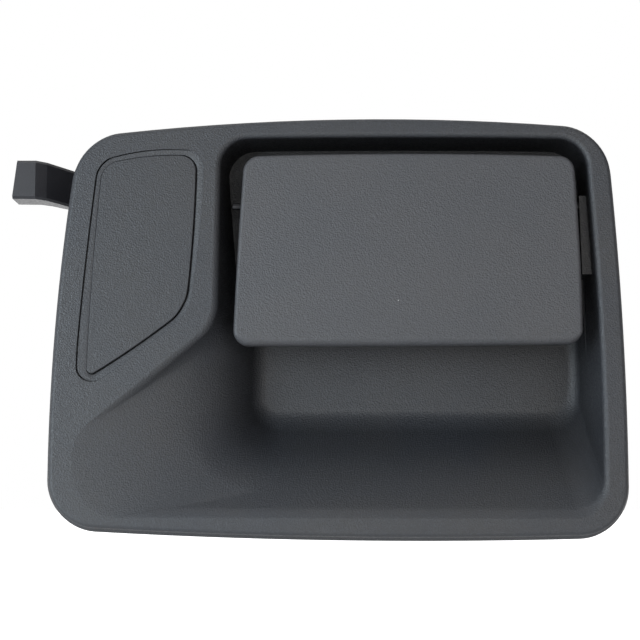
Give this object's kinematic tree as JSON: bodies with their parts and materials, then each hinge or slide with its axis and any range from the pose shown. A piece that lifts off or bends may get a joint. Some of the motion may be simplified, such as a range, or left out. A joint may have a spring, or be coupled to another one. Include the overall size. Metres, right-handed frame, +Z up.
{
  "type": "car door handle",
  "caption": "Exterior car door handle: moulded black bezel with a finger pocket, top-hinged pull paddle, lock blanking plate and a rear release lever",
  "frame": {"origin": "on the seating plane, the rear face of the gasket that meets the door skin, midway along the gasket's lower run", "axes": "+X to the right seen from outside the car, +Y into the door, square to the seating plane, +Z up"},
  "size_m": [0.2176, 0.0404, 0.1482],
  "materials": {
    "bezel_black": "fine moulded grain",
    "paddle_black": "fine moulded grain",
    "lever_black": "smooth moulded",
    "rubber_black": "matte",
    "zinc_plate": "zinc plated",
    "cast_alloy": "as cast, dark",
    "spring_steel": "bright drawn",
    "nylon_white": "natural nylon"
  },
  "bodies": {
    "housing": {"bezel_housing": "bezel_black", "lock_blanking_plate": "bezel_black", "plate_push_nut_1": "spring_steel", "plate_push_nut_2": "spring_steel", "perimeter_gasket": "rubber_black", "mounting_stud_left": "zinc_plate", "mounting_stud_right": "zinc_plate", "mounting_nut_left": "zinc_plate", "mounting_nut_right": "zinc_plate", "lever_bracket": "zinc_plate", "bracket_screw_1": "zinc_plate", "bracket_screw_2": "zinc_plate", "bracket_screw_3": "zinc_plate", "lever_pivot_pin": "zinc_plate", "lever_pin_clip": "spring_steel", "paddle_pivot_pin": "zinc_plate", "pivot_pin_clip": "spring_steel", "paddle_bumper_left": "rubber_black", "paddle_bumper_right": "rubber_black"},
    "paddle": {"paddle": "paddle_black", "paddle_carrier": "cast_alloy", "carrier_screw_left": "zinc_plate", "carrier_screw_right": "zinc_plate", "paddle_spring": "spring_steel"},
    "lever": {"release_lever": "lever_black", "lever_bush": "nylon_white", "lever_spring": "spring_steel"}
  },
  "joints": [
    {"name": "paddle_hinge", "type": "hinge", "parent": "housing", "child": "paddle", "pos_m": [0, -0.002, 0.1114], "axis": [-1, 0, 0], "range_deg": [0, 30], "stiffness_Nm_per_rad": 0.8, "springref_deg": -20.05, "deforming": ["paddle_spring"]},
    {"name": "lever_hinge", "type": "hinge", "parent": "housing", "child": "lever", "pos_m": [-0.06, 0.0195, 0.105], "axis": [0, 1, 0], "range_deg": [0, 18], "stiffness_Nm_per_rad": 0.1, "springref_deg": -20.05, "deforming": ["lever_spring"]}
  ],
  "couplings": [
    {"joint": "lever_hinge", "follows": "paddle_hinge", "ratio": 0.561}
  ]
}
